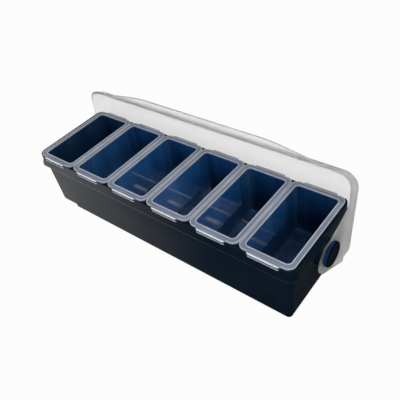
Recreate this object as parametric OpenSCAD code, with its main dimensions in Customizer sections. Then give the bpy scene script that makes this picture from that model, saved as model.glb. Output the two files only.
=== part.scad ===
// Six compartment condiment caddy: a black moulded tub, six clear lift-out inserts and one frosted hood.
// The hood turns on two thumb screws and is drawn thrown open behind the tub, as it stands in use.
// Origin: on the plinth's resting face, under the middle of the row.
// +X runs along the row, +Y to the rear, +Z up.

/* [Row of inserts] */
// Distance between the centres of neighbouring inserts
insert_pitch = 80; // [79.6:0.1:90]
// Width of an insert's rim, along the row
rim_w = 79; // [72:0.5:79.5]
// Depth of an insert's rim, front to rear
rim_d = 145; // [130:1:160]
// Width of the flat rim band, from the opening to the outer edge
rim_band = 7.5; // [6:0.5:9]
// Height of the top of the rims above the table
rim_z = 109; // [104:1:125]
// Outer corner radius of the rim
rim_r = 10; // [8:0.5:14]

/* [Insert] */
// Depth of an insert from the rim's top to its underside
insert_h = 85; // [60:1:92]
// Wall thickness of an insert
insert_t = 2; // [1.5:0.1:3]
// Corner radius of the opening
opening_r = 6; // [4:0.5:9]
// Radius between an insert's walls and its floor
insert_fillet = 5; // [3:0.5:9]
// Thickness of the rim plate
rim_t = 1.8; // [1.4:0.1:2.4]
// Height of the raised beads on the rim
bead_h = 0.8; // [0.4:0.1:1.2]
// Width of the raised beads on the rim
bead_w = 1.3; // [0.8:0.1:2]
// Width of the lift tab at the front and rear of the rim
tab_w = 50; // [30:1:56]
// How much narrower the lift tab is at its outer edge, at each end
tab_slant = 4; // [0:0.5:8]
// How far the lift tab hangs down from the top of the rim
tab_drop = 5.5; // [4.5:0.1:6]
// Wall thickness of the lift tab
tab_t = 1.6; // [1.2:0.1:2.2]

/* [Tub] */
// Wall thickness of the tub
tub_t = 3; // [2.5:0.1:3.5]
// Thickness of the tub's floor
floor_t = 3; // [2.5:0.1:5]
// Height of the inset plinth under the floor
plinth_h = 6.5; // [3:0.5:9]
// How far the plinth is set in from the left end wall
plinth_in_left = 30; // [10:1:60]
// How far the plinth is set in from the right end wall
plinth_in_right = 3; // [2:0.5:20]
// How far the plinth is set in from the walls at the front and rear
plinth_in_y = 2.5; // [1:0.5:8]
// Corner radius of the plinth
plinth_r = 6; // [3:0.5:12]
// How far the tub's end walls lean in from top to bottom
tub_lean_x = 2.5; // [1:0.1:5]
// How far the tub's front and rear walls lean in from top to bottom
tub_lean_y = 3.2; // [1:0.1:5]
// Vertical corner radius of the tub's wall
tub_r = 9; // [7:0.5:12]
// Radius of the rounded edge round the tub's bottom
bottom_r = 4.5; // [3.5:0.5:6]
// Height of the turned-down skirt round the rim
skirt_h = 16.5; // [14:0.5:20]
// Height of the straight band at the top of the skirt
band_h = 6.6; // [6.4:0.1:8]
// Thickness of the skirt
skirt_t = 2.4; // [2:0.1:3]
// How far the skirt stands past the insert rims at the ends
skirt_out_x = 4; // [3:0.1:6]
// How far the skirt stands past the insert rims at the front and rear
skirt_out_y = 1; // [0.6:0.1:2]
// How far the skirt flares out at its lower edge, front and rear
flare = 3.5; // [1:0.1:4]
// Outer corner radius of the skirt
skirt_r = 13; // [11:0.5:16]

/* [Pivot] */
// Distance of the pivot behind the middle of the tub
pivot_y = 7.5; // [0:0.1:12]
// Distance of the pivot below the top of the insert rims
pivot_drop = 40; // [36:0.5:46]
// Radius of the round boss on each end wall
boss_r = 20; // [16:0.5:21]
// How much wider the boss is at its foot, on the radius
boss_foot = 1.5; // [0.5:0.1:3]
// Width of the bevel round the boss's face
boss_bevel = 1; // [0.5:0.1:2]
// How far the boss stands past the skirt
boss_out = 0.5; // [0.2:0.1:3]
// Radius of the thumb screw's head
knob_r = 18.5; // [14:0.5:24]
// Thickness of the thumb screw's head
knob_t = 6; // [5:0.5:12]
// Width of the bevel round the head's rim
knob_bevel = 1.2; // [0.5:0.1:2]
// Width of the raised rim round the head's face
knob_rim = 3; // [2:0.1:5]
// Depth of the dished face inside that rim
knob_dish = 0.5; // [0.2:0.1:0.8]
// Radius of the shoulder that the hood turns on
shoulder_r = 6; // [4.5:0.1:8]
// Radius of the steel stud
stud_r = 3; // [2:0.1:4]
// How deep the stud is moulded into the head
stud_grip = 4; // [2.5:0.1:4.5]
// Outer radius of the brass bush
bush_r = 5.2; // [4.6:0.1:7]
// Length of the brass bush
bush_len = 7; // [5:0.5:7.5]
// Outer radius of the plastic washer
washer_r = 14; // [10:0.5:18]
// Thickness of the plastic washer
washer_t = 1.2; // [0.8:0.1:2]

/* [Hood] */
// Wall thickness of the hood
hood_t = 2.4; // [2:0.1:3]
// How far the closed hood's front edge stands forward of the lift tabs
hood_reach = 7; // [4:0.5:16]
// Radius where the top rolls down to the front
front_roll = 30; // [20:1:34]
// How far the front edge stands forward of the rolled corner
front_splay = 3; // [1:0.5:8]
// Radius where the top rolls down to the rear and the ends
edge_roll = 12; // [8:0.5:15]
// Corner radius at the hood's front, seen from above
front_r = 22; // [16:0.5:26]
// Corner radius at the hood's rear, seen from above
rear_r = 12; // [8:0.5:16]
// Angle from the level hood to the hood thrown open
open_angle = 94; // [90:0.5:97]
// Radius of the ear's round end
ear_r = 24; // [22:0.5:27]
// How far the middle of the ear's round end lies behind the pivot
ear_back = 8; // [0:0.5:9]
// Slant of the ear's rear edge from upright
ear_slant = 27; // [20:1:30]
// Slant of the ear's front edge from upright
ear_front_slant = 22; // [10:1:26]
// Radius that joins the ear's front edge to the hood's edge
ear_fillet = 10; // [5:1:16]
// How far the finger lip stands out from the front edge
lip_out = 12; // [8:0.5:22]
// Half the length of the finger lip's full part
lip_full = 105; // [60:1:110]
// Length over which the finger lip runs out to nothing
lip_fade = 118; // [60:1:120]

/* [Fits] */
// Gap under the insert rims where they sit on the tub
seat_gap = 0.2; // [0.1:0.05:0.4]
// Gap between an insert's walls and the tub's walls
well_gap = 1.2; // [0.8:0.1:2]
// Gap between the lift tabs and the skirt behind them
tab_gap = 0.9; // [0.5:0.1:1.5]
// Gap at each side of the hood's ears
side_gap = 0.3; // [0.2:0.05:0.5]
// Gap between the turning hood and the rear lift tabs
swing_gap = 1.1; // [0.8:0.1:4]
// Height of the level hood's edge above the top of the insert rims
hood_rise = 12; // [4:0.5:16]
// Gap between the open hood and the table
table_gap = 1.5; // [0.8:0.1:6]
// Gap between the open hood's lower edge and the foot of the tub
stop_gap = 0.4; // [0.3:0.1:2]
// Running clearance of a shaft in its hole, on the radius
run_gap = 0.05; // [0.03:0.01:0.08]
// Clearance of a piece moulded or pressed into another, on the radius
press_gap = 0.02; // [0.01:0.01:0.03]

/* [Hidden] */
insert_n = 6;
LEFT = -1;
RIGHT = 1;
black = [0.13, 0.14, 0.15];
clear = [0.62, 0.70, 0.78, 0.55];
frost = [0.90, 0.91, 0.91, 0.85];
steel = [0.72, 0.73, 0.75];
brass = [0.80, 0.65, 0.32];
white = [0.93, 0.93, 0.90];
// Height of the thin slices that the lofted shells run through
slice = 0.01;
// How far a cut runs past the surface it opens
past = 1;
bore_fn = 96;
corner_fn = 32;
roll_steps = [0 : 15 : 90];
front_steps = [20 : 10 : 90];
fillet_steps = [0 : 0.125 : 1];
lip_steps = [-1 : 0.0625 : 1];

// Insert, measured from the middle of its rim's top
open_w = rim_w - 2 * rim_band;
open_d = rim_d - 2 * rim_band;
plate_z = bead_h + rim_t;
tab_out = skirt_out_y + tab_gap + tab_t;
tab_y = rim_d / 2 + tab_out;

// Tub
row_half = (insert_n - 1) / 2 * insert_pitch;
tub_top = rim_z - plate_z - seat_gap;
floor_top = plinth_h + floor_t;
well_x = row_half + open_w / 2 + insert_t + well_gap;
well_y = open_d / 2 + insert_t + well_gap;
wall_x = well_x + tub_t;
wall_y = well_y + tub_t;
foot_x = wall_x - tub_lean_x;
foot_y = wall_y - tub_lean_y;
skirt_x = row_half + rim_w / 2 + skirt_out_x;
skirt_y = rim_d / 2 + skirt_out_y;
skirt_z = tub_top - skirt_h;
// An insert's walls run parallel to the tub's
insert_lean = (insert_h - plate_z) / (tub_top - plinth_h);

// Pivot stack, from the boss outwards
pivot_z = rim_z - pivot_drop;
boss_x = skirt_x + boss_out;
washer_x = boss_x + washer_t;
ear_in = washer_x + side_gap;
ear_out = ear_in + hood_t;
head_x = ear_out + side_gap;
shoulder_gap = 0.1;
shoulder_len = head_x - washer_x - shoulder_gap;
stud_end = 1.5;

// Hood, measured from the pivot with the hood closed
swing_r = norm([tab_y - pivot_y, pivot_drop - plate_z / 2]);
hood_top = swing_r + swing_gap + hood_t;
hood_front = tab_y + pivot_y + hood_reach;
hood_rear = edge_roll + (pivot_z - table_gap - edge_roll
    + (hood_top - edge_roll) * cos(open_angle)) / sin(open_angle);
edge_b = pivot_drop + hood_rise;
roll_b = hood_top - front_roll;
roll_a = hood_front - front_splay - front_roll;
rear_b = (foot_y + stop_gap - pivot_y - hood_rear * cos(open_angle)) / sin(open_angle);

notch_x = foot_x + swing_gap;

// How far the ear's slanted rear edge lies behind the pivot, at height b
function ear_rear(b) = ear_back + (ear_r + b * sin(ear_slant)) / cos(ear_slant);
// How far the ear's slanted front edge lies in front of the pivot, at height b
function ear_front(b) = (ear_r + b * sin(ear_front_slant)) / cos(ear_front_slant) - ear_back;
// Share of the finger lip's reach that is left at a distance x from the middle
function lip_share(x) = x <= lip_full ? 1 : (1 + cos(180 * min(1, (x - lip_full) / lip_fade))) / 2;
// Share of the tub's lean that is reached at height z
function lean_at(z) = (tub_top - z) / (tub_top - plinth_h);

// A rectangle with rounded corners, centred
module round_rect(w, d, r) {
    square([w - 2 * r, d], center = true);
    square([w, d - 2 * r], center = true);
    for (x = [-1, 1], y = [-1, 1])
        translate([x * (w / 2 - r), y * (d / 2 - r)]) circle(r, $fn = bore_fn);
}

// One thin slice of a lofted shell, with half width x, half depth y and corner radius r
module loft_slice(x, y, r, z) {
    for (i = [-1, 1], j = [-1, 1])
        translate([i * (x - r), j * (y - r), z]) cylinder(slice, r = r, $fn = corner_fn);
}

// Puts a turned piece on the pivot axis, its own +Z pointing out of the end of the tub
module on_pivot(side, x) {
    translate([side * x, pivot_y, pivot_z]) rotate([0, side * 90, 0]) children();
}

// A leaning box with a rounded lower edge; shrink is 0 outside, and a wall's thickness inside
module tub_shell(shrink, bottom) {
    r = bottom_r - shrink / 2;
    hull() {
        for (a = roll_steps) {
            z = bottom + r * (1 - cos(a));
            in = shrink + r * (1 - sin(a));
            loft_slice(wall_x - tub_lean_x * lean_at(z) - in, wall_y - tub_lean_y * lean_at(z) - in,
                tub_r - shrink, z);
        }
        loft_slice(wall_x - shrink, wall_y - shrink, tub_r - shrink, tub_top - slice);
    }
}

// The skirt's straight upper band, and the part below it that flares out at the front and rear
module skirt_outside() {
    translate([0, 0, tub_top - band_h]) linear_extrude(band_h)
        round_rect(2 * skirt_x, 2 * skirt_y, skirt_r);
    hull() {
        loft_slice(skirt_x, skirt_y, skirt_r, tub_top - band_h);
        loft_slice(skirt_x, skirt_y + flare, skirt_r, skirt_z);
        loft_slice(skirt_x, skirt_y + flare, skirt_r, skirt_z + skirt_t);
    }
}

// The space inside the skirt, open below
module skirt_inside() {
    hull() {
        loft_slice(skirt_x - skirt_t, skirt_y - skirt_t, skirt_r - skirt_t, tub_top - skirt_t);
        loft_slice(skirt_x - skirt_t, skirt_y + flare - skirt_t, skirt_r - skirt_t, skirt_z - past);
    }
}

// A round boss, a little wider where it leaves the wall
module boss() {
    root = boss_x - foot_x;
    rotate_extrude($fn = bore_fn) polygon([[0, -root], [boss_r + boss_foot, -root], [boss_r, -boss_bevel],
        [boss_r - boss_bevel, 0], [0, 0]]);
}

// The low plinth that the tub stands on
module plinth() {
    translate([(plinth_in_left - plinth_in_right) / 2, 0, 0]) linear_extrude(plinth_h + bottom_r)
        round_rect(2 * foot_x - plinth_in_left - plinth_in_right, 2 * (foot_y - plinth_in_y), plinth_r);
}

module tub() {
    color(black) difference() {
        union() {
            difference() {
                skirt_outside();
                skirt_inside();
            }
            tub_shell(0, plinth_h);
            plinth();
            for (side = [LEFT, RIGHT]) on_pivot(side, boss_x) boss();
        }
        tub_shell(tub_t, floor_top);
        translate([0, 0, tub_top - slice]) linear_extrude(past)
            round_rect(2 * well_x, 2 * well_y, tub_r - tub_t);
        for (side = [LEFT, RIGHT])
            on_pivot(side, boss_x - bush_len) cylinder(bush_len + past, r = bush_r + press_gap, $fn = bore_fn);
    }
}

// An insert's drafted bowl; shrink is 0 for its outside, and the wall's thickness for its inside
module bowl(shrink, top) {
    x = open_w / 2 + insert_t - shrink;
    y = open_d / 2 + insert_t - shrink;
    r = opening_r + insert_t - shrink;
    f = insert_fillet + insert_t - shrink;
    hull() {
        loft_slice(x, y, r, top);
        for (a = roll_steps) {
            z = -insert_h + shrink + f * (1 - cos(a));
            in = f * (1 - sin(a));
            lean = insert_lean * (-plate_z - z) / (insert_h - plate_z);
            loft_slice(x - tub_lean_x * lean - in, y - tub_lean_y * lean - in, r, z);
        }
    }
}

// The lift tab: it runs out of the rim, rounds over and hangs down outside the skirt
module lift_tab() {
    y = rim_d / 2;
    round_over = [for (a = [0 : 15 : 90]) [tab_y - tab_t * (1 - sin(a)), -tab_t * (1 - cos(a))]];
    intersection() {
        rotate([90, 0, 90]) linear_extrude(tab_w, center = true) polygon(concat([[y - bead_w, 0]],
            round_over, [[tab_y, -tab_drop], [tab_y - tab_t, -tab_drop], [tab_y - tab_t, -plate_z],
            [y - bead_w, -plate_z]]));
        translate([0, 0, -tab_drop - past]) linear_extrude(tab_drop + 2 * past)
            polygon([[-tab_w / 2, y - bead_w - past], [-tab_w / 2, y], [-tab_w / 2 + tab_slant, tab_y],
                [tab_w / 2 - tab_slant, tab_y], [tab_w / 2, y], [tab_w / 2, y - bead_w - past]]);
    }
}

module insert(number) {
    color(clear) translate([(number - 1) * insert_pitch - row_half, 0, rim_z]) difference() {
        union() {
            translate([0, 0, -plate_z]) linear_extrude(rim_t) round_rect(rim_w, rim_d, rim_r);
            translate([0, 0, -plate_z]) linear_extrude(plate_z) difference() {
                round_rect(rim_w, rim_d, rim_r);
                round_rect(rim_w - 2 * bead_w, rim_d - 2 * bead_w, rim_r - bead_w);
            }
            translate([0, 0, -plate_z]) linear_extrude(plate_z)
                round_rect(open_w + 2 * bead_w, open_d + 2 * bead_w, opening_r + bead_w);
            bowl(0, -plate_z);
            lift_tab();
            mirror([0, 1, 0]) lift_tab();
        }
        bowl(insert_t, -plate_z);
        translate([0, 0, -plate_z]) linear_extrude(plate_z + past) round_rect(open_w, open_d, opening_r);
    }
}

// The hood's rounded outer form, closed, or its inside where shrink is the wall's thickness
module hood_form(shrink, bottom) {
    mid_b = hood_top - edge_roll;
    roll = edge_roll - shrink;
    over = front_roll - shrink;
    steps = [for (a = front_steps) [roll_b + over * sin(a), roll_a + over * cos(a)]];
    rings = concat([[bottom, hood_front - shrink]], steps);
    hull() {
        for (ring = rings) {
            b = ring[0];
            drawn_in = b < mid_b ? 0 : roll - sqrt(max(0, roll * roll - (b - mid_b) * (b - mid_b)));
            x = ear_out - shrink - drawn_in;
            rear = hood_rear - shrink - drawn_in;
            for (side = [LEFT, RIGHT]) {
                translate([side * (x - front_r + shrink), -ring[1] + front_r - shrink, b - slice])
                    cylinder(slice, r = front_r - shrink, $fn = corner_fn);
                translate([side * (x - rear_r + shrink), rear - rear_r + shrink, b - slice])
                    cylinder(slice, r = rear_r - shrink, $fn = corner_fn);
            }
        }
    }
}

// The ear that carries the hood on one end, from the pivot up to the hood's edge
module ear() {
    top = edge_b + past;
    turn = 90 - ear_front_slant;
    mid = [-ear_front(edge_b - ear_fillet) - ear_fillet / cos(ear_front_slant), edge_b - ear_fillet];
    end = [ear_back, 0];
    translate([ear_in, 0, 0]) rotate([90, 0, 90]) linear_extrude(hood_t) union() {
        translate(end) circle(ear_r, $fn = bore_fn);
        polygon(concat([end, end - ear_r * [cos(ear_front_slant), sin(ear_front_slant)]],
            [for (i = fillet_steps) mid + ear_fillet * [sin(turn * (1 - i)), cos(turn * (1 - i))]],
            [[mid[0], top], [ear_rear(top), top], end + ear_r * [cos(ear_slant), -sin(ear_slant)]]));
    }
}

// The finger lip along the closed hood's front edge, full in the middle and fading out to each side
module finger_lip() {
    reach = lip_full + lip_fade;
    xs = [for (i = lip_steps) i * reach];
    translate([0, 0, edge_b]) linear_extrude(hood_t) polygon(concat(
        [for (x = xs) [x, -hood_front - lip_out * lip_share(abs(x))]],
        [[reach, -hood_front + hood_t], [-reach, -hood_front + hood_t]]));
}

module closed_hood() {
    difference() {
        union() {
            difference() {
                hood_form(0, edge_b + slice);
                hood_form(hood_t, edge_b - past);
                // The rear wall is short, so that it clears the tub when the hood is thrown open
                translate([-notch_x, 0, edge_b - past])
                    cube([2 * notch_x, hood_rear + past, rear_b - edge_b + past]);
            }
            ear();
            mirror([1, 0, 0]) ear();
            finger_lip();
        }
        // The ends follow the slant of the ears at the rear
        translate([-ear_out - past, 0, 0]) rotate([90, 0, 90]) linear_extrude(2 * (ear_out + past))
            polygon([[ear_rear(0), 0], [ear_rear(rear_b), rear_b], [ear_rear(rear_b), 0]]);
        rotate([0, 90, 0]) cylinder(2 * (ear_out + past), r = shoulder_r + run_gap, center = true, $fn = bore_fn);
    }
}

module lid() {
    color(frost) translate([0, pivot_y, pivot_z]) rotate([-open_angle, 0, 0]) closed_hood();
}

// The thumb screw's moulded head, with its shoulder on the inner side
module knob(side) {
    edge = knob_bevel;
    dish_r = knob_r - knob_rim;
    face = knob_t - knob_dish;
    color(black) on_pivot(side, head_x) difference() {
        union() {
            rotate_extrude($fn = bore_fn) polygon([[0, 0], [knob_r - edge, 0], [knob_r, edge],
                [knob_r, knob_t - edge], [knob_r - edge, knob_t], [dish_r, knob_t], [dish_r - knob_dish, face],
                [0, face]]);
            translate([0, 0, -shoulder_len]) cylinder(shoulder_len + edge, r = shoulder_r, $fn = bore_fn);
        }
        translate([0, 0, -shoulder_len - past])
            cylinder(shoulder_len + past + stud_grip, r = stud_r + press_gap, $fn = bore_fn);
    }
}

// The steel stud, moulded into the head and turning in the bush
module stud(side) {
    back = head_x - boss_x + bush_len - stud_end;
    color(steel) on_pivot(side, head_x - back) cylinder(back + stud_grip, r = stud_r, $fn = bore_fn);
}

// The plastic washer between the boss and the hood's ear
module washer(side) {
    color(white) on_pivot(side, boss_x) difference() {
        cylinder(washer_t, r = washer_r, $fn = bore_fn);
        translate([0, 0, -past]) cylinder(washer_t + 2 * past, r = stud_r + side_gap, $fn = bore_fn);
    }
}

// The brass bush that is pressed into the boss
module bush(side) {
    color(brass) on_pivot(side, boss_x - bush_len) difference() {
        cylinder(bush_len, r = bush_r, $fn = bore_fn);
        translate([0, 0, -past]) cylinder(bush_len + 2 * past, r = stud_r + run_gap, $fn = bore_fn);
    }
}

tub();
lid();
insert(1);  // insert_1
insert(2);  // insert_2
insert(3);  // insert_3
insert(4);  // insert_4
insert(5);  // insert_5
insert(6);  // insert_6
knob(LEFT);  // left_knob
knob(RIGHT);  // right_knob
stud(LEFT);  // left_stud
stud(RIGHT);  // right_stud
washer(LEFT);  // left_washer
washer(RIGHT);  // right_washer
bush(LEFT);  // left_bush
bush(RIGHT);  // right_bush
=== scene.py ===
"""A six compartment condiment caddy: black tub, clear lift-out inserts, frosted hood thrown open behind."""
import bmesh
import bpy
import math
from mathutils import Matrix, Vector

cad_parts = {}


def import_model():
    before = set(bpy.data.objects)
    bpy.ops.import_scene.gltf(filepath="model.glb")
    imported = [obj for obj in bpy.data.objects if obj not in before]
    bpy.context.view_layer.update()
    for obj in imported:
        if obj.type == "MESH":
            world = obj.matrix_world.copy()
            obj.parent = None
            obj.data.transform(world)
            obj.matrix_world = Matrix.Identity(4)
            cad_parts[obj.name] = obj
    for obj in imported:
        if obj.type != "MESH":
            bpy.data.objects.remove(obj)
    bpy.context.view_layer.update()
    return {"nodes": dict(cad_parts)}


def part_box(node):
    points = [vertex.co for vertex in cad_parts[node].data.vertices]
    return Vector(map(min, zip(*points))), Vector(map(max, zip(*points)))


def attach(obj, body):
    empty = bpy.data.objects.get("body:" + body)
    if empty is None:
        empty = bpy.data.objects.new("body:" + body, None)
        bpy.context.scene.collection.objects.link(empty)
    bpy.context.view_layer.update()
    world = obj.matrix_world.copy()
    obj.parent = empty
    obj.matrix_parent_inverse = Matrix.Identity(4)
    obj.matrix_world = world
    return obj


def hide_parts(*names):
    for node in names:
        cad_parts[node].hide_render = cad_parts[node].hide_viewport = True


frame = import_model()

MM = 0.001
SIDES = ("left", "right")

# The tub, in mm: the height of its skirt's lower edge, and how far out its outer faces lie
SKIRT_FOOT = 89.4
OUTER_X = 238.0
OUTER_Y = 68.0
# The faces at the front and the left end lie past these and carry a painted sheen, light from the left painted
# as a greyer tone, which fades along the row
SHEEN_LEFT_X = -234
SHEEN_FRONT_Y = -60
SHEEN_FADE_X = (-340, 140)
# The stretch in which the painted highlight along the skirt's foot fades to the right
FOOT_HIGHLIGHT_FADE_X = (-200, 160)

# An insert, in mm from the middle of its top
# Outward along X and Y: half the tab's width, where the tab starts, hangs free of the rim and is turned down
TAB_HALF_X = 24.4
TAB_START_Y = 71.35
TAB_HANG_Y = 73.65
TAB_TURN_Y = 74.15
# Downward: where the beads end, where the tab's hanging part turns clear, where the tab's rounding and the rim
# end, and where the painted highlight on the tab's lower edge starts
BEAD_Z = -0.55
TAB_UNDER_Z = -1.25
TAB_ROUND_Z = -1.35
RIM_Z = -2.1
TAB_EDGE_Z = -4.9
# The floor's level, and the heights where the painted reflection on the side walls is full and where it ends
FLOOR_Z = -80.75
REFLECTION_Z = (-84, -46)
# The painted highlights across the floors: where they lie from front to rear, and where the near one starts
REAR_GLINT_Y = 34
NEAR_GLINT_Y = 10
NEAR_GLINT_X = -3
# The inserts from left to right: how bright the walls' blue is, a painted light and shade that differs from
# insert to insert, and how strong the painted reflections are low down and on the floor
SHADES = (0.40, 0.95, 1.05, 1.05, 0.90, 0.80)
REFLECTIONS = (0.15, 0.9, 1.0, 1.0, 0.45, 0.15)
# How much a clear wall hides of what lies behind it, and how much the painted reflection and the rim hide
WALL_ALPHA = 0.21
REFLECTION_ALPHA = 0.9
RIM_ALPHA = 0.92


# Shader helpers

def new_material(name):
    """A material with one Principled shader; gives the material, its node tree and the shader."""
    mat = bpy.data.materials.new(name)
    mat.use_nodes = True
    tree = mat.node_tree
    return mat, tree, tree.nodes["Principled BSDF"]


def add(tree, kind, **values):
    """A node with the given properties, and inputs given by name with underscores for spaces."""
    node = tree.nodes.new(kind)
    for key, value in values.items():
        if hasattr(node, key):
            setattr(node, key, value)
        else:
            node.inputs[key.replace("_", " ")].default_value = value
    return node


def place(tree):
    """The socket that gives a point's place in its own piece."""
    return add(tree, "ShaderNodeTexCoord").outputs["Object"]


def axis(tree, source, name):
    """One coordinate of a vector socket."""
    node = add(tree, "ShaderNodeSeparateXYZ")
    tree.links.new(source, node.inputs["Vector"])
    return node.outputs[name]


def facing(tree, name):
    """How far a surface faces along one axis of its own piece, from -1 to 1."""
    return axis(tree, add(tree, "ShaderNodeTexCoord").outputs["Normal"], name)


def noise(tree, scale, detail=3.0, stretch=(1, 1, 1), seed=(0, 0, 0)):
    """The socket of a noise pattern fixed to the piece, stretched along its axes and shifted by the seed."""
    mapping = add(tree, "ShaderNodeMapping")
    mapping.inputs["Scale"].default_value = stretch
    mapping.inputs["Location"].default_value = seed
    tree.links.new(place(tree), mapping.inputs["Vector"])
    pattern = add(tree, "ShaderNodeTexNoise", Scale=scale, Detail=detail)
    tree.links.new(mapping.outputs["Vector"], pattern.inputs["Vector"])
    return pattern.outputs["Fac"]


def ramp(tree, source, stops):
    """Colours over the source's value; stops are pairs of value and colour."""
    node = add(tree, "ShaderNodeValToRGB")
    elements = node.color_ramp.elements
    while len(elements) < len(stops):
        elements.new(0.5)
    for element, (at, colour) in zip(elements, stops):
        element.position = at
        element.color = (*colour, 1)
    tree.links.new(source, node.inputs["Fac"])
    return node.outputs["Color"]


def spread(tree, source, low, high, out_low=0.0, out_high=1.0):
    """The source's value mapped smoothly from one range to another, and clamped."""
    node = add(tree, "ShaderNodeMapRange", interpolation_type="SMOOTHSTEP")
    for name, value in (("From Min", low), ("From Max", high), ("To Min", out_low), ("To Max", out_high)):
        node.inputs[name].default_value = value
    tree.links.new(source, node.inputs["Value"])
    return node.outputs["Result"]


def between(tree, source, limits, out_low, out_high):
    """The source's value mapped smoothly from two limits in mm to two other values."""
    return spread(tree, source, limits[0] * MM, limits[1] * MM, out_low, out_high)


def beyond(tree, source, at, blur):
    """0 where the source is less than a value in mm, and 1 past it, blurred by so many mm on both sides."""
    return spread(tree, source, (at - blur) * MM, (at + blur) * MM)


def below(tree, source, at, blur):
    """1 where the source is less than a value in mm, and 0 past it, blurred by so many mm on both sides."""
    return spread(tree, source, (at - blur) * MM, (at + blur) * MM, 1.0, 0.0)


def calc(tree, operation, first, second=0.0):
    """A math operation on two sockets or numbers."""
    node = add(tree, "ShaderNodeMath", operation=operation)
    for socket, value in zip(node.inputs, (first, second)):
        if isinstance(value, bpy.types.NodeSocket):
            tree.links.new(value, socket)
        else:
            socket.default_value = value
    return node.outputs[0]


def product(tree, first, *others):
    """Sockets and numbers multiplied together."""
    for other in others:
        first = calc(tree, "MULTIPLY", first, other)
    return first


def near(tree, source, middle, full, gone):
    """1 up to the full distance from the middle, fading to 0 where it is gone, in mm."""
    distance = calc(tree, "ABSOLUTE", calc(tree, "SUBTRACT", source, middle * MM))
    return spread(tree, distance, full * MM, gone * MM, 1.0, 0.0)


def mix(tree, factor, first, second):
    """Two colours mixed by a factor socket; a colour is a socket or a plain colour."""
    node = add(tree, "ShaderNodeMix", data_type="RGBA")
    tree.links.new(factor, node.inputs["Factor"])
    for socket, colour in ((node.inputs[6], first), (node.inputs[7], second)):
        if isinstance(colour, bpy.types.NodeSocket):
            tree.links.new(colour, socket)
        else:
            socket.default_value = (*colour, 1)
    return node.outputs[2]


def bump(tree, bsdf, height, strength):
    """A fine relief on the shader's normal."""
    node = add(tree, "ShaderNodeBump", Strength=strength, Distance=0.2 * MM)
    tree.links.new(height, node.inputs["Height"])
    tree.links.new(node.outputs["Normal"], bsdf.inputs["Normal"])


# Materials

def worn_edges(tree):
    """1 on sharp edges, where the normal averaged over the nearby surface turns away from the true one."""
    rounded = add(tree, "ShaderNodeBevel", samples=4, Radius=0.9 * MM)
    match = add(tree, "ShaderNodeVectorMath", operation="DOT_PRODUCT")
    tree.links.new(rounded.outputs["Normal"], match.inputs[0])
    tree.links.new(add(tree, "ShaderNodeNewGeometry").outputs["Normal"], match.inputs[1])
    return spread(tree, match.outputs["Value"], 0.86, 0.98, 1.0, 0.0)


def tub_plastic():
    """Satin black plastic with a painted sheen that makes it greyer towards the left end, a fine grain, faint
    scuffs, paler worn edges, and a painted highlight and a painted shadow round the skirt's foot.
    """
    mat, tree, bsdf = new_material("tub_plastic")
    x, y, z = (axis(tree, place(tree), name) for name in "XYZ")
    cloud = noise(tree, 9, 5)
    navy = ramp(tree, cloud, [(0.3, (0.0016, 0.0060, 0.0130)), (0.7, (0.0040, 0.0105, 0.0200))])
    sheen_grey = ramp(tree, cloud, [(0.3, (0.098, 0.102, 0.106)), (0.7, (0.126, 0.130, 0.133))])
    forward = spread(tree, facing(tree, "Y"), -0.6, -0.2, 1.0, 0.0)
    leftward = spread(tree, facing(tree, "X"), -0.6, -0.2, 1.0, 0.0)
    front = product(tree, forward, below(tree, y, SHEEN_FRONT_Y, 2))
    left = product(tree, leftward, below(tree, x, SHEEN_LEFT_X, 2))
    sheen_fade = between(tree, x, SHEEN_FADE_X, 1.0, 0.0)
    # Painted sheen: the faces looking front and left turn greyer towards the left, as light from the left
    # would make them
    base = mix(tree, product(tree, calc(tree, "MAXIMUM", front, left), sheen_fade), navy, sheen_grey)
    base = mix(tree, product(tree, worn_edges(tree), 0.45), base, (0.075, 0.080, 0.090))
    scuff = spread(tree, noise(tree, 55, 8, (0.25, 1, 1)), 0.66, 0.80, 0.0, 0.5)
    base = mix(tree, scuff, base, (0.020, 0.025, 0.031))

    # Round the skirt's foot, on the outside only: a painted highlight along its edge that fades to the right,
    # and a painted shadow under it
    outside = calc(tree, "MAXIMUM", beyond(tree, calc(tree, "ABSOLUTE", y), OUTER_Y, 0.5),
                   beyond(tree, calc(tree, "ABSOLUTE", x), OUTER_X, 0.5))
    foot_highlight = product(tree, beyond(tree, z, SKIRT_FOOT + 0.2, 0.2), below(tree, z, SKIRT_FOOT + 1.5, 0.4), 0.7,
                   between(tree, x, FOOT_HIGHLIGHT_FADE_X, 1.0, 0.1), outside)
    base = mix(tree, foot_highlight, base, (0.21, 0.22, 0.24))
    # Painted shadow under the skirt's foot
    foot_shadow = product(tree, beyond(tree, z, SKIRT_FOOT - 2.4, 1.5), below(tree, z, SKIRT_FOOT, 0.1), 0.65,
                    outside)
    base = mix(tree, foot_shadow, base, (0.006, 0.008, 0.011))

    tree.links.new(base, bsdf.inputs["Base Color"])
    tree.links.new(spread(tree, noise(tree, 60, 5), 0.3, 0.7, 0.28, 0.40), bsdf.inputs["Roughness"])
    bsdf.inputs["Specular IOR Level"].default_value = 0.012
    bsdf.inputs["Specular Tint"].default_value = (0.5, 0.7, 0.95, 1)
    bump(tree, bsdf, noise(tree, 1400, 2), 0.08)
    return mat


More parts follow.
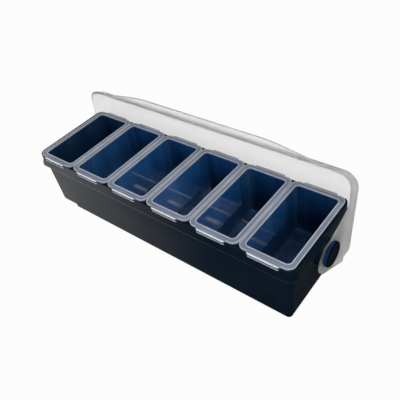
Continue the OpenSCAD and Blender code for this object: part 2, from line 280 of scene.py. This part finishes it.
def hood_plastic():
    """Frosted plastic that lets light through, a little uneven and with fine scratches."""
    mat, tree, bsdf = new_material("hood_plastic")
    base = ramp(tree, noise(tree, 5, 4), [(0.3, (0.92, 0.93, 0.915)), (0.7, (0.955, 0.96, 0.945))])
    lines = spread(tree, noise(tree, 70, 6, (0.08, 1, 1)), 0.62, 0.75, 0.0, 0.35)
    tree.links.new(mix(tree, lines, base, (0.86, 0.88, 0.88)), bsdf.inputs["Base Color"])
    tree.links.new(spread(tree, noise(tree, 40, 4), 0.3, 0.7, 0.34, 0.46), bsdf.inputs["Roughness"])
    bsdf.inputs["Transmission Weight"].default_value = 0.88
    bsdf.inputs["IOR"].default_value = 1.2
    bsdf.inputs["Subsurface Weight"].default_value = 1.0
    bsdf.inputs["Subsurface Radius"].default_value = (1.0, 1.0, 1.0)
    bsdf.inputs["Subsurface Scale"].default_value = 6 * MM
    bump(tree, bsdf, noise(tree, 900, 2), 0.05)
    return mat


def insert_walls(tree, number, seed, streaks):
    """The walls and floor of an insert: their colour with painted light and shade, and where painted
    reflections and highlights lie on them.
    """
    x, y, z = (axis(tree, place(tree), name) for name in "XYZ")
    tone = SHADES[number - 1]

    def streaked(*stops):
        return ramp(tree, streaks, [(at, tuple(tone * part for part in colour)) for at, colour in stops])

    # Painted light and shade: the side walls in a paler blue, as lit from the side, the end walls in a darker
    # blue, as in shade
    side = streaked((0.30, (0.012, 0.12, 0.38)), (0.55, (0.03, 0.19, 0.52)), (0.75, (0.09, 0.30, 0.66)))
    end = streaked((0.36, (0.003, 0.045, 0.19)), (0.58, (0.008, 0.085, 0.29)), (0.72, (0.03, 0.16, 0.42)))
    at_end = spread(tree, calc(tree, "ABSOLUTE", facing(tree, "Y")), 0.58, 0.64)
    colour = mix(tree, at_end, side, end)

    # Painted reflections low on the side walls, in patches, and painted highlights across the floor
    patches = spread(tree, noise(tree, 22, 6, (0.16, 1, 0.5), seed), 0.36, 0.66, 0.18, 0.62)
    low_down = between(tree, z, REFLECTION_Z, REFLECTIONS[number - 1], 0.0)
    reflection = product(tree, low_down, patches, spread(tree, at_end, 0.0, 1.0, 1.0, 0.0))
    # Painted highlights on the floor: a thin one along its rear edge and a broad one nearer the front
    rear_glint = product(tree, near(tree, y, REAR_GLINT_Y, 0.8, 3.0), 0.8)
    near_glint = product(tree, near(tree, y, NEAR_GLINT_Y, 2.0, 5.5), beyond(tree, x, NEAR_GLINT_X, 5))
    on_floor = product(tree, below(tree, z, FLOOR_Z, 0.75), REFLECTIONS[number - 1])
    glints = product(tree, calc(tree, "MAXIMUM", rear_glint, near_glint), on_floor)
    colour = mix(tree, reflection, colour, (0.55, 0.56, 0.56))
    colour = mix(tree, glints, colour, (1.0, 0.86, 0.66))
    return colour, calc(tree, "MAXIMUM", reflection, glints)


def insert_plastic(number):
    """Clear blue-tinted plastic: pale at the rim, with painted highlights on its beads and tab edges, and
    painted reflections low down.
    """
    mat, tree, bsdf = new_material("insert_plastic_%d" % number)
    seed = (0.31 * number, 0.17 * number, 0.0)
    streaks = noise(tree, 34, 6, (1, 1, 0.06), seed)
    wall, reflection = insert_walls(tree, number, seed, streaks)

    # The parts of the rim: beads at the opening and the outer edge, and a tab that turns down
    z = axis(tree, place(tree), "Z")
    far_x, far_y = (calc(tree, "ABSOLUTE", axis(tree, place(tree), name)) for name in "XY")
    tab_flat = product(tree, beyond(tree, far_y, TAB_START_Y, 0.15), below(tree, far_x, TAB_HALF_X, 0.2),
                       below(tree, far_y, TAB_TURN_Y, 0.15))
    tab_round = product(tree, beyond(tree, far_y, TAB_TURN_Y, 0.15), beyond(tree, z, TAB_ROUND_Z, 0.15))
    hanging = beyond(tree, far_y, TAB_HANG_Y, 0.15)
    tab_edge = product(tree, below(tree, z, TAB_EDGE_Z, 0.2), hanging)
    on_bead = calc(tree, "SUBTRACT", beyond(tree, z, BEAD_Z, 0.15), tab_flat)
    on_bead = calc(tree, "MAXIMUM", on_bead, tab_round)
    under_tab = product(tree, hanging, below(tree, z, TAB_UNDER_Z, 0.15))
    on_rim = calc(tree, "MAXIMUM", calc(tree, "SUBTRACT", beyond(tree, z, RIM_Z, 0.2), under_tab), 0.0)

    # Their colours: the band's own, a painted highlight on the beads, and a stronger painted highlight on the
    # tab's rounding and lower edge
    band = ramp(tree, noise(tree, 25, 3, seed=seed), [(0.3, (0.15, 0.19, 0.27)), (0.7, (0.23, 0.27, 0.36))])
    mottle = noise(tree, 60, 4, seed=seed)
    bead = ramp(tree, mottle, [(0.3, (0.42, 0.45, 0.49)), (0.7, (0.60, 0.61, 0.62))])
    tab_highlight = ramp(tree, mottle, [(0.3, (0.66, 0.67, 0.69)), (0.7, (0.84, 0.83, 0.80))])
    rim = mix(tree, on_bead, band, mix(tree, tab_round, bead, tab_highlight))
    colour = mix(tree, tab_edge, mix(tree, on_rim, wall, rim), tab_highlight)
    tree.links.new(colour, bsdf.inputs["Base Color"])
    tree.links.new(spread(tree, streaks, 0.3, 0.7, 0.30, 0.44), bsdf.inputs["Roughness"])

    # How much of what lies behind is hidden
    solid = add(tree, "ShaderNodeMix", data_type="FLOAT")
    tree.links.new(calc(tree, "MAXIMUM", on_rim, tab_edge), solid.inputs["Factor"])
    tree.links.new(spread(tree, reflection, 0.0, 1.0, WALL_ALPHA, REFLECTION_ALPHA), solid.inputs[2])
    solid.inputs[3].default_value = RIM_ALPHA
    tree.links.new(solid.outputs[0], bsdf.inputs["Alpha"])
    bsdf.inputs["IOR"].default_value = 1.49
    return mat


def knob_plastic():
    """Satin black plastic with a painted blue reflection round its side, and a fine grain."""
    mat, tree, bsdf = new_material("knob_plastic")
    black = ramp(tree, noise(tree, 40, 3), [(0.3, (0.0008, 0.0014, 0.005)), (0.7, (0.002, 0.0034, 0.010))])
    # Painted reflection: the side is given a blue colour where light would be reflected
    blue = ramp(tree, noise(tree, 90, 3), [(0.3, (0.004, 0.024, 0.10)), (0.7, (0.008, 0.042, 0.15))])
    on_face = spread(tree, calc(tree, "ABSOLUTE", facing(tree, "X")), 0.35, 0.75)
    tree.links.new(mix(tree, on_face, blue, black), bsdf.inputs["Base Color"])
    tree.links.new(spread(tree, noise(tree, 120, 4), 0.3, 0.7, 0.2, 0.32), bsdf.inputs["Roughness"])
    bsdf.inputs["Specular IOR Level"].default_value = 0.004
    bump(tree, bsdf, noise(tree, 1500, 2), 0.05)
    return mat


def metal(name, dark, light, rough):
    """Turned metal with a fine grain between two tones."""
    mat, tree, bsdf = new_material(name)
    grain = noise(tree, 300, 3, (6, 1, 1))
    tree.links.new(ramp(tree, grain, [(0.3, dark), (0.7, light)]), bsdf.inputs["Base Color"])
    bsdf.inputs["Metallic"].default_value = 1
    tree.links.new(spread(tree, grain, 0.3, 0.7, rough, rough + 0.12), bsdf.inputs["Roughness"])
    return mat


def washer_plastic():
    """Off-white plastic, slightly mottled."""
    mat, tree, bsdf = new_material("washer_plastic")
    colour = ramp(tree, noise(tree, 80, 3), [(0.3, (0.70, 0.70, 0.66)), (0.7, (0.78, 0.78, 0.74))])
    tree.links.new(colour, bsdf.inputs["Base Color"])
    bsdf.inputs["Roughness"].default_value = 0.45
    return mat


# Pieces

def put_in_scene(name, mesh, material, sharp_from):
    """An object for a mesh, with one material, and smooth where faces meet at less than so many degrees."""
    mesh.materials.clear()
    mesh.materials.append(material)
    piece = bpy.data.objects.new(name, mesh)
    bpy.context.scene.collection.objects.link(piece)
    mesh.shade_smooth()
    mesh.set_sharp_from_angle(angle=math.radians(sharp_from))
    return piece


def refined(node, body, material, edge, origin=(0, 0, 0)):
    """A copy of a CAD node with merged corners, rounded edges and smooth shading, which replaces it."""
    mesh = frame["nodes"][node].data.copy()
    mesh.name = node + "_skin"
    if mesh.has_custom_normals:
        mesh.attributes.remove(mesh.attributes["custom_normal"])
    merge = 0.002 * MM
    work = bmesh.new()
    work.from_mesh(mesh)
    bmesh.ops.remove_doubles(work, verts=work.verts, dist=merge)
    bmesh.ops.dissolve_degenerate(work, edges=work.edges, dist=merge)
    bmesh.ops.dissolve_limit(work, angle_limit=math.radians(1), verts=work.verts, edges=work.edges)
    bmesh.ops.translate(work, verts=work.verts, vec=-Vector(origin))
    work.to_mesh(mesh)
    work.free()
    piece = put_in_scene(node + "_skin", mesh, material, 35)
    piece.location = origin
    if edge:
        bevel = piece.modifiers.new("edges", "BEVEL")
        bevel.width = edge
        bevel.segments = 2
        bevel.limit_method = "ANGLE"
        bevel.angle_limit = math.radians(40)
        bevel.use_clamp_overlap = True
    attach(piece, body)
    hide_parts(node)
    return piece


def end_lip(side, material):
    """The thin raised lip round one end of the tub, outside the insert's rim; its numbers are in mm."""
    corner_x, corner_y, outer_r = 230.5, 60.5, 12.9
    width, foot, top, rounding = 1.1, 105.9, 108.7, 0.4
    way = 1 if side == "right" else -1
    profile = [(0, foot), (0, top - rounding), (rounding, top)]
    profile += [(width - inward, z) for inward, z in reversed(profile)]
    turns = range(65, -1, -5)
    path = [(corner_y, turn) for turn in turns] + [(-corner_y, -turn) for turn in reversed(turns)]
    work = bmesh.new()
    rings = []
    for y, turn in path:
        ring = []
        for inward, z in profile:
            out_x = (outer_r - inward) * math.cos(math.radians(turn))
            out_y = (outer_r - inward) * math.sin(math.radians(turn))
            ring.append(work.verts.new((way * (corner_x + out_x) * MM, (y + out_y) * MM, z * MM)))
        rings.append(ring)
    for first, second in zip(rings, rings[1:]):
        for n in range(len(profile)):
            m = (n + 1) % len(profile)
            work.faces.new((first[n], first[m], second[m], second[n]))
    work.faces.new(rings[0][::-1])
    work.faces.new(rings[-1])
    bmesh.ops.recalc_face_normals(work, faces=work.faces)
    mesh = bpy.data.meshes.new(side + "_end_lip")
    work.to_mesh(mesh)
    work.free()
    piece = put_in_scene(side + "_end_lip", mesh, material, 50)
    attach(piece, "tub")


# Stage, light and camera

def shows_white(tree, rays):
    """1 for a ray that comes from the camera or through a clear piece, else 0."""
    return calc(tree, "MAXIMUM", rays.outputs["Is Camera Ray"], rays.outputs["Is Transmission Ray"])


def stage():
    """A pale floor that the camera sees as near white, and that keeps the object's shadow."""
    half, whiteness = 12.0, 0.97
    mesh = bpy.data.meshes.new("floor")
    corners = [(-half, -half, 0), (half, -half, 0), (half, half, 0), (-half, half, 0)]
    mesh.from_pydata(corners, [], [(0, 1, 2, 3)])
    floor = bpy.data.objects.new("floor", mesh)
    bpy.context.scene.collection.objects.link(floor)
    mat, tree, bsdf = new_material("floor")
    bsdf.inputs["Base Color"].default_value = (0.25, 0.25, 0.25, 1)
    bsdf.inputs["Roughness"].default_value = 0.9
    glow = add(tree, "ShaderNodeEmission", Strength=1.0)
    blend = add(tree, "ShaderNodeMixShader")
    white = product(tree, shows_white(tree, add(tree, "ShaderNodeLightPath")), whiteness)
    tree.links.new(white, blend.inputs["Fac"])
    tree.links.new(bsdf.outputs[0], blend.inputs[1])
    tree.links.new(glow.outputs[0], blend.inputs[2])
    tree.links.new(blend.outputs[0], tree.nodes["Material Output"].inputs["Surface"])
    floor.data.materials.append(mat)


def world():
    """A plain sky, white to the camera and through clear pieces, and pale in reflections."""
    sky = bpy.data.worlds.new("sky")
    sky.use_nodes = True
    tree = sky.node_tree
    tree.nodes.clear()
    rays = add(tree, "ShaderNodeLightPath")
    soft = add(tree, "ShaderNodeBackground", Color=(0.92, 0.95, 1.0, 1), Strength=0.02)
    white = add(tree, "ShaderNodeBackground", Color=(1, 1, 1, 1), Strength=1.0)
    blend = add(tree, "ShaderNodeMixShader")
    out = add(tree, "ShaderNodeOutputWorld")
    mirrored = product(tree, rays.outputs["Is Glossy Ray"], 0.6)
    tree.links.new(calc(tree, "MAXIMUM", shows_white(tree, rays), mirrored), blend.inputs["Fac"])
    tree.links.new(soft.outputs[0], blend.inputs[1])
    tree.links.new(white.outputs[0], blend.inputs[2])
    tree.links.new(blend.outputs[0], out.inputs["Surface"])
    bpy.context.scene.world = sky


def lamp(name, at, aim, size, power, colour=(1, 1, 1)):
    """A soft rectangular lamp aimed at a point, which doesn't show through clear pieces."""
    data = bpy.data.lights.new(name, "AREA")
    data.shape = "RECTANGLE"
    data.size, data.size_y = size
    data.energy = power
    data.color = colour
    obj = bpy.data.objects.new(name, data)
    bpy.context.scene.collection.objects.link(obj)
    obj.location = at
    obj.rotation_euler = (Vector(aim) - Vector(at)).to_track_quat("-Z", "Y").to_euler()
    obj.visible_transmission = False


def camera():
    """The photo's camera, found from the corners of the openings."""
    data = bpy.data.cameras.new("camera")
    data.sensor_width = 36.0
    data.lens = 43.43
    data.shift_x = 0.00016
    data.shift_y = 0.0062
    data.clip_start = 0.01
    obj = bpy.data.objects.new("camera", data)
    bpy.context.scene.collection.objects.link(obj)
    right = Vector((0.782, 0.6092, -0.132)).normalized()
    up = Vector((-0.3398, 0.5942, 0.729)).normalized()
    back = right.cross(up).normalized()
    up = back.cross(right)
    turn = Matrix((right, up, back)).transposed().to_4x4()
    obj.matrix_world = Matrix.Translation((0.4208, -0.3831, 0.5576)) @ turn
    bpy.context.scene.camera = obj


finishes = {
    "tub_plastic": tub_plastic(),
    "hood_plastic": hood_plastic(),
    "knob_plastic": knob_plastic(),
    "stud_steel": metal("stud_steel", (0.50, 0.51, 0.53), (0.62, 0.63, 0.65), 0.25),
    "bush_brass": metal("bush_brass", (0.62, 0.46, 0.18), (0.72, 0.56, 0.26), 0.28),
    "washer_plastic": washer_plastic(),
}

refined("tub", "tub", finishes["tub_plastic"], 0.5 * MM)
for side in SIDES:
    end_lip(side, finishes["tub_plastic"])
hood = refined("lid", "hood", finishes["hood_plastic"], 0.5 * MM)
# The light that the hood throws back into the inserts would show there as specks, so it is left out
hood.visible_diffuse = False
for number in range(1, 7):
    name = "insert_%d" % number
    low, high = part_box(name)
    middle = ((low.x + high.x) / 2, (low.y + high.y) / 2, high.z)
    refined(name, name, insert_plastic(number), 0.35 * MM, middle)
for side in SIDES:
    refined(side + "_knob", side + "_thumb_screw", finishes["knob_plastic"], 0)
    for part, slot in (("stud", "stud_steel"), ("bush", "bush_brass"), ("washer", "washer_plastic")):
        node = frame["nodes"][side + "_" + part]
        node.data.materials.clear()
        node.data.materials.append(finishes[slot])

stage()
world()
lamp("key", (1.35, 0.05, 0.95), (0, 0, 0.08), (1.4, 1.2), 14)
lamp("left", (-0.75, -0.55, 1.05), (0, 0, 0.08), (0.8, 0.8), 4)
lamp("back", (-0.1, 1.15, 0.75), (0, 0.1, 0.12), (1.4, 0.8), 6.5)
lamp("front", (0.0, -1.45, 0.42), (0, 0.1, 0.13), (1.8, 0.5), 17)
lamp("top", (0.0, 0.0, 2.4), (0, 0, 0), (2.6, 2.6), 15, (0.92, 0.95, 1.0))
camera()
bpy.context.scene.view_settings.view_transform = "Standard"
